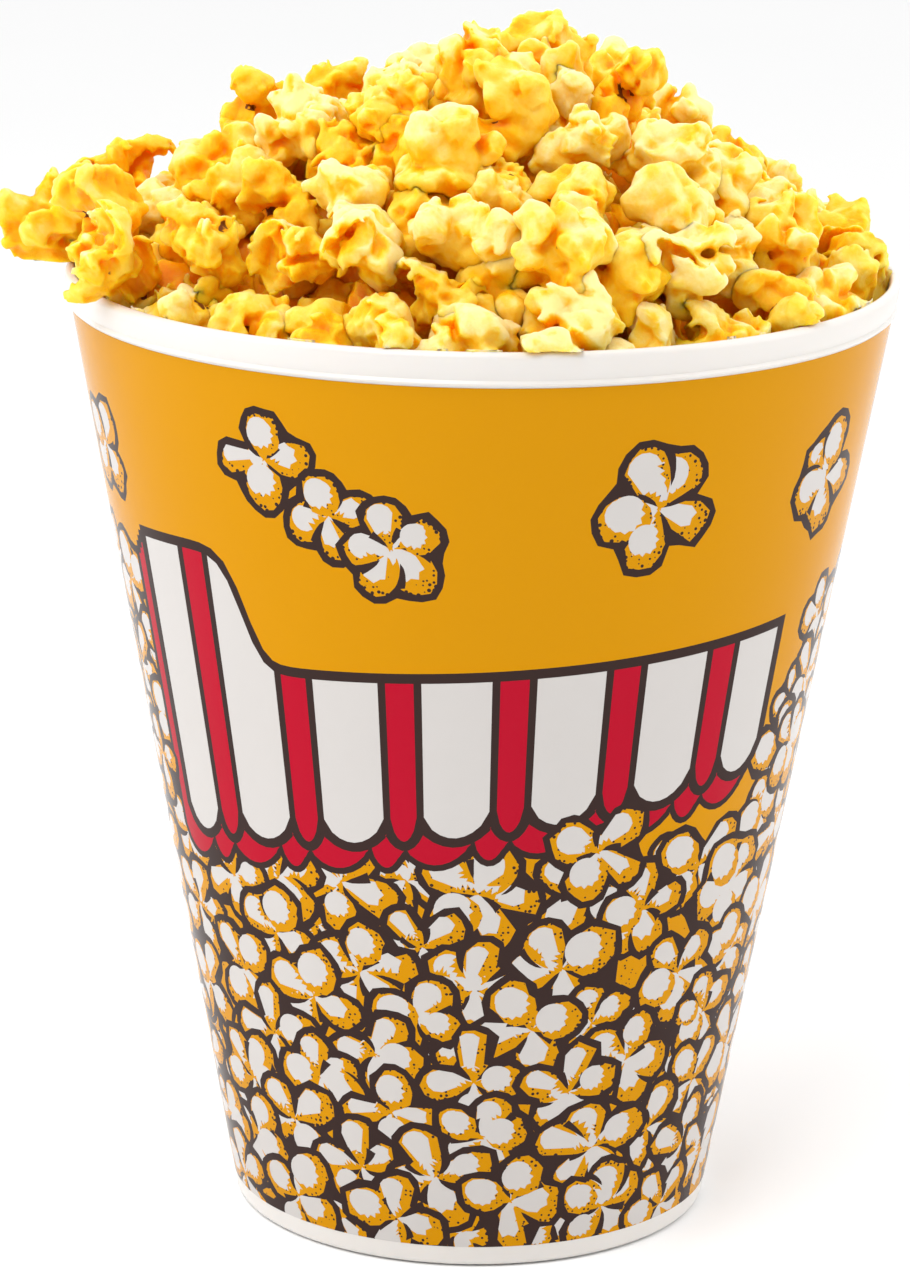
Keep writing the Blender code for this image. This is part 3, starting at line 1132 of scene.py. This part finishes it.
class Nodes:
    """Adds and links shader nodes of one material."""

    def __init__(self, name):
        self.material = bpy.data.materials.new(name)
        self.material.use_nodes = True
        self.tree = self.material.node_tree
        self.shader = self.tree.nodes["Principled BSDF"]

    def add(self, kind, **settings):
        node = self.tree.nodes.new(kind)
        for key, value in settings.items():
            setattr(node, key, value)
        return node

    def link(self, source, target):
        self.tree.links.new(source, target)

    def attribute(self, name):
        return self.add("ShaderNodeAttribute", attribute_name=name).outputs["Fac"]

    def math(self, operation, a, b=0.0, clamp=False):
        node = self.add("ShaderNodeMath", operation=operation, use_clamp=clamp)
        for socket, value in zip(node.inputs, (a, b)):
            if isinstance(value, (int, float)):
                socket.default_value = value
            else:
                self.link(value, socket)
        return node.outputs[0]

    def ramp(self, source, stops):
        node = self.add("ShaderNodeValToRGB")
        elements = node.color_ramp.elements
        while len(elements) < len(stops):
            elements.new(0.5)
        for element, (place, color) in zip(elements, stops):
            element.position = place
            element.color = (*color, 1.0)
        self.link(source, node.inputs["Fac"])
        return node.outputs["Color"]

    def noise(self, scale, detail=2.0, roughness=0.5):
        place = self.add("ShaderNodeTexCoord").outputs["Object"]
        node = self.add("ShaderNodeTexNoise")
        node.inputs["Scale"].default_value = scale
        node.inputs["Detail"].default_value = detail
        node.inputs["Roughness"].default_value = roughness
        self.link(place, node.inputs["Vector"])
        return node.outputs["Fac"]

    def mix(self, factor, a, b, blend_type="MIX"):
        node = self.add("ShaderNodeMix", data_type="RGBA", blend_type=blend_type)
        for name, value in (("Factor", factor), ("A", a), ("B", b)):
            socket = [s for s in node.inputs if s.name == name and s.enabled][0]
            if isinstance(value, (int, float)):
                socket.default_value = value
            elif isinstance(value, tuple):
                socket.default_value = (*value, 1.0)
            else:
                self.link(value, socket)
        return [s for s in node.outputs if s.enabled][0]

    def bump(self, height, strength, distance):
        """Relief on the whole surface; the distance is in metres."""
        bump = self.add("ShaderNodeBump")
        bump.inputs["Strength"].default_value = strength
        bump.inputs["Distance"].default_value = distance
        self.link(height, bump.inputs["Height"])
        self.link(bump.outputs["Normal"], self.shader.inputs["Normal"])

    def set(self, **values):
        for key, value in values.items():
            self.shader.inputs[key.replace("_", " ")].default_value = value


def popcorn_material():
    """Cream lobes and butter in patches, with painted shade: more orange in creases, on faces turned down and
    where kernels lie deep.
    """
    n = Nodes("popped_corn")
    patches = n.noise(130.0, 3.0, 0.55)
    fine = n.noise(900.0, 3.0, 0.6)
    tone = n.math("MULTIPLY", n.attribute("tint"), 0.36)
    butter_and_shade = n.math("ADD", n.math("MULTIPLY", patches, 0.90), n.math("SUBTRACT", tone, 0.42))
    # painted shade: creases are made more orange, as if shaded
    butter_and_shade = n.math("ADD", butter_and_shade, n.math("MULTIPLY", n.attribute("crease"), 0.98))
    # painted shade: kernels that lie deep in the heap are made more orange
    butter_and_shade = n.math("ADD", butter_and_shade, n.math("MULTIPLY", n.attribute("depth"), 0.44))
    # painted shade: faces turned downwards are made more orange
    rise = n.add("ShaderNodeSeparateXYZ")
    n.link(n.add("ShaderNodeNewGeometry").outputs["Normal"], rise.inputs[0])
    butter_and_shade = n.math("SUBTRACT", butter_and_shade, n.math("MULTIPLY", rise.outputs["Z"], 0.12))
    butter_and_shade = n.math("ADD", butter_and_shade, n.math("MULTIPLY", n.math("SUBTRACT", fine, 0.5), 0.20), clamp=True)
    # cream, then butter yellow, then deep orange; the orange end is partly butter and partly painted shade
    color = n.ramp(butter_and_shade, [
        (0.04, (0.97, 0.77, 0.33)),
        (0.26, (0.96, 0.65, 0.09)),
        (0.48, (0.95, 0.54, 0.011)),
        (0.73, (0.94, 0.43, 0.002)),
        (1.00, (0.93, 0.34, 0.001)),
    ])
    husk = n.math("MULTIPLY", n.attribute("hull"), n.math("ADD", fine, 0.55), clamp=True)
    husk = n.ramp(husk, [(0.45, (0, 0, 0)), (0.70, (1, 1, 1))])
    color = n.mix(husk, color, (0.15, 0.040, 0.007))
    n.link(color, n.shader.inputs["Base Color"])
    n.link(n.ramp(butter_and_shade, [(0.1, (0.62,) * 3), (0.8, (0.36,) * 3)]), n.shader.inputs["Roughness"])
    n.bump(n.noise(700.0, 5.0, 0.62), 0.55, 0.0006)
    n.link(n.math("SUBTRACT", 1.0, husk), n.shader.inputs["Subsurface Weight"])
    n.set(Subsurface_Radius=(0.75, 0.88, 1.0), Subsurface_Scale=0.0042, Specular_IOR_Level=0.14)
    return n.material


def white_plastic():
    """White polypropylene, a little cloudy, that lets some light through."""
    n = Nodes("bucket_plastic_white")
    color = n.mix(n.noise(24.0, 3.0), (0.735, 0.704, 0.668), (0.743, 0.713, 0.680))
    roughness = n.ramp(n.noise(60.0, 3.0), [(0.3, (0.28,) * 3), (0.7, (0.29,) * 3)])
    n.link(color, n.shader.inputs["Base Color"])
    n.link(roughness, n.shader.inputs["Roughness"])
    n.set(Subsurface_Weight=0.25, Subsurface_Radius=(1.0, 0.8, 0.6), Subsurface_Scale=0.002)
    return n.material


def ink_material(name, low, high):
    """Glossy printed ink, with the faint clouding of a moulded wall."""
    n = Nodes(name)
    n.link(n.mix(n.noise(18.0, 3.0), low, high), n.shader.inputs["Base Color"])
    n.set(Roughness=0.16, Specular_IOR_Level=0.06)
    return n


def yellow_ink():
    return ink_material("ink_yellow", (0.605, 0.262, 0.0002), (0.622, 0.272, 0.0003)).material


def black_ink():
    return ink_material("ink_black", (0.034, 0.019, 0.017), (0.044, 0.025, 0.022)).material


def white_ink():
    return ink_material("ink_white", (0.580, 0.552, 0.530), (0.602, 0.575, 0.556)).material


def red_ink():
    return ink_material("ink_red", (0.440, 0.004, 0.021), (0.460, 0.005, 0.024)).material


def amber_ink():
    """Amber with black dots that crowd towards the outlines."""
    n = ink_material("ink_amber", (0.610, 0.262, 0.0008), (0.628, 0.275, 0.001))
    ground = n.shader.inputs["Base Color"].links[0].from_socket
    cells = n.add("ShaderNodeTexVoronoi", feature="F1")
    cells.inputs["Scale"].default_value = 820.0
    cells.inputs["Randomness"].default_value = 0.6
    n.link(n.add("ShaderNodeTexCoord").outputs["Object"], cells.inputs["Vector"])
    reach = n.math("ADD", n.math("MULTIPLY", n.attribute("edge_share"), 0.30), 0.13)
    dot = n.math("LESS_THAN", cells.outputs["Distance"], reach)
    n.link(n.mix(dot, ground, (0.040, 0.022, 0.018)), n.shader.inputs["Base Color"])
    return n.material


INK_MATERIALS = {
    "yellow": yellow_ink,
    "black": black_ink,
    "amber": amber_ink,
    "white": white_ink,
    "red": red_ink,
}


# ---------------------------------------------------------------- light, floor, camera

LENS = 146.25                           # mm, on a sensor 36 mm wide
CAMERA_PLACE = (0.0, -1.1672, 0.4514)
CAMERA_TURN = -0.0044                   # radians to the right of the bucket's axis
CAMERA_TILT = 0.2659                    # radians down from the horizontal
CAMERA_ROLL = 0.0135                    # radians about the line of sight
LIGHT_AIM = (0.0, 0.0, 0.15)
LIGHTS = [                              # name, place, width, height and power in W
    ("top_light", (-0.35, -0.75, 1.25), 0.7, 0.7, 9.0),
    ("left_light", (-0.85, -0.30, 0.55), 0.6, 0.9, 2.6),
    ("right_light", (0.85, -0.15, 0.50), 0.6, 0.9, 2.6),
]
FLOOR_REACH = 3.0
FLOOR_DROP = 0.0003                     # the floor lies this far under the bucket's foot


def make_camera():
    """The camera of the reference view, turned and tilted as the view is."""
    data = bpy.data.cameras.new("camera")
    data.lens = LENS
    data.sensor_width = 36.0
    camera = linked("camera", data)
    level = math.cos(CAMERA_TILT)
    ahead = Vector((math.sin(CAMERA_TURN) * level, math.cos(CAMERA_TURN) * level, -math.sin(CAMERA_TILT)))
    right = Vector((math.cos(CAMERA_TURN), -math.sin(CAMERA_TURN), 0.0))
    up = right.cross(ahead)
    turn = math.cos(CAMERA_ROLL) * right + math.sin(CAMERA_ROLL) * up
    lift = -math.sin(CAMERA_ROLL) * right + math.cos(CAMERA_ROLL) * up
    axes = Matrix((turn, lift, -ahead)).transposed().to_4x4()
    camera.matrix_world = Matrix.Translation(CAMERA_PLACE) @ axes
    bpy.context.scene.camera = camera


def make_world():
    """A pale surround, brightest behind the bucket."""
    world = bpy.data.worlds.new("studio")
    bpy.context.scene.world = world
    world.use_nodes = True
    tree = world.node_tree
    background = tree.nodes["Background"]
    place = tree.nodes.new("ShaderNodeTexCoord")
    split = tree.nodes.new("ShaderNodeSeparateXYZ")
    fade = tree.nodes.new("ShaderNodeMapRange")
    fade.interpolation_type = "SMOOTHSTEP"
    for name, value in (("From Min", -0.9), ("From Max", 0.5), ("To Min", 0.38), ("To Max", 1.28)):
        fade.inputs[name].default_value = value
    tree.links.new(place.outputs["Generated"], split.inputs[0])
    tree.links.new(split.outputs["Y"], fade.inputs["Value"])
    tree.links.new(fade.outputs["Result"], background.inputs["Strength"])
    background.inputs["Color"].default_value = (1.0, 1.0, 1.0, 1.0)


def make_light(name, place, width, height, power):
    """A soft rectangular light that faces the bucket."""
    data = bpy.data.lights.new(name, "AREA")
    data.shape = "RECTANGLE"
    data.size = width
    data.size_y = height
    data.energy = power
    light = linked(name, data)
    light.location = place
    light.rotation_euler = (Vector(LIGHT_AIM) - Vector(place)).to_track_quat("-Z", "Y").to_euler()


def make_floor():
    """A plain pale sheet of paper."""
    mesh = bpy.data.meshes.new("floor")
    spots = [(x * FLOOR_REACH, y * FLOOR_REACH, 0.0) for x, y in ((-1, -1), (1, -1), (1, 1), (-1, 1))]
    mesh.from_pydata(spots, [], [(0, 1, 2, 3)])
    floor = linked("floor", mesh)
    floor.location.z = -FLOOR_DROP
    n = Nodes("floor_paper")
    n.link(n.mix(n.noise(3.0), (0.95, 0.95, 0.95), (0.97, 0.97, 0.97)), n.shader.inputs["Base Color"])
    n.set(Roughness=0.8)
    mesh.materials.append(n.material)


def make_studio():
    """Everything round the object but the camera."""
    bpy.context.scene.view_settings.view_transform = "Standard"
    make_world()
    for light in LIGHTS:
        make_light(*light)
    make_floor()


make_shell()
make_print()
make_popcorn()
make_camera()
make_studio()
